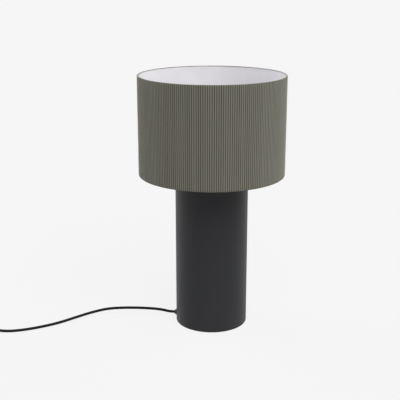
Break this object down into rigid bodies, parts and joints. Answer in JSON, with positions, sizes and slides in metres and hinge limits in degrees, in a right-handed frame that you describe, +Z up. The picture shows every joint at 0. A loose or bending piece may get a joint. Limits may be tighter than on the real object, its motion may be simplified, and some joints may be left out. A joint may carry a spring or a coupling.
{
  "type": "table lamp",
  "caption": "Table lamp with a plain black metal cylinder body, a wide drum shade of ribbed olive cloth lined in white, a screw-in bulb and a black mains lead.",
  "frame": {"origin": "on the table, under the middle of the body", "axes": "+Z up along the body's axis, -Y towards the viewer, -X the side where the mains lead leaves"},
  "size_m": [0.7361, 0.4148, 0.526],
  "materials": {
    "body_paint": "fine matt powder coat, anthracite black",
    "plain_steel": "plain zinc-plated steel",
    "ballast_iron": "rough cast iron",
    "foot_rubber": "black rubber disc",
    "cord_black": "satin black cord jacket",
    "black_plastic": "fine matt black moulding",
    "rocker_black": "semi-gloss black moulding",
    "tie_cloth": "black woven strap",
    "core_plastic": "insulated wire",
    "contact_brass": "bright brass",
    "plated_metal": "nickel plate",
    "insulator_black": "black glassy insulator",
    "bulb_white": "white moulding",
    "bulb_opal": "opal white diffuser",
    "board_metal": "white-faced aluminium board",
    "shade_cloth": "olive grey corduroy with upright ribs",
    "lining_white": "smooth white lining",
    "white_wire": "white coated steel wire"
  },
  "bodies": {
    "lamp": {"body_tube": "body_paint", "top_plate": "body_paint", "base_plate": "plain_steel", "base_screws": "plain_steel", "weight_screws": "plain_steel", "tube_lugs": "plain_steel", "nipple": "plain_steel", "nipple_nut": "plain_steel", "nipple_washer": "plain_steel", "switch_screws": "plain_steel", "base_weight": "ballast_iron", "foot_pad": "foot_rubber", "inner_lead": "cord_black", "cord_run": "cord_black", "cord_link": "cord_black", "cord_coil": "cord_black", "cord_tail": "cord_black", "cord_gland": "black_plastic", "holder_cap": "black_plastic", "holder_shell": "black_plastic", "holder_insert": "black_plastic", "switch_lower": "black_plastic", "switch_upper": "black_plastic", "plug_body": "black_plastic", "plug_sleeves": "black_plastic", "coil_tie": "tie_cloth", "lead_cores": "core_plastic", "centre_contact": "contact_brass", "screw_sleeve": "contact_brass", "terminal_screws": "contact_brass", "switch_strips": "contact_brass", "plug_pins": "plated_metal"},
    "shade": {"shade_cover": "shade_cloth", "shade_lining": "lining_white", "top_band": "white_wire", "bottom_hoop": "white_wire", "spider_arms": "white_wire", "fitter_ring": "white_wire"},
    "shade_ring": {"shade_ring": "black_plastic"},
    "bulb_tip": {"bulb_contact": "plated_metal"},
    "bulb": {"bulb_insulator": "insulator_black", "bulb_cap": "plated_metal", "bulb_collar": "bulb_white", "bulb_board": "board_metal", "bulb_globe": "bulb_opal"},
    "rocker": {"switch_rocker": "rocker_black"}
  },
  "joints": [
    {"name": "shade_turn", "type": "hinge", "parent": "lamp", "child": "shade", "pos_m": [0, 0, 0.362], "axis": [0, 0, 1], "continuous": true},
    {"name": "shade_ring_turn", "type": "hinge", "parent": "lamp", "child": "shade_ring", "pos_m": [0, 0, 0.3635], "axis": [0, 0, 1], "range_deg": [0, 1080]},
    {"name": "bulb_lift", "type": "slide", "parent": "lamp", "child": "bulb_tip", "axis": [0, 0, 1], "range_m": [0, 0.0182]},
    {"name": "bulb_turn", "type": "hinge", "parent": "bulb_tip", "child": "bulb", "pos_m": [0, 0, 0.3703], "axis": [0, 0, 1], "range_deg": [0, 1800]},
    {"name": "rocker_tilt", "type": "hinge", "parent": "lamp", "child": "rocker", "pos_m": [-0.494, -0.075, 0.0136], "axis": [0, -1, 0], "range_deg": [0, 14]}
  ],
  "couplings": [
    {"joint": "bulb_lift", "follows": "bulb_turn", "m_per_rad": 0.0005775}
  ]
}
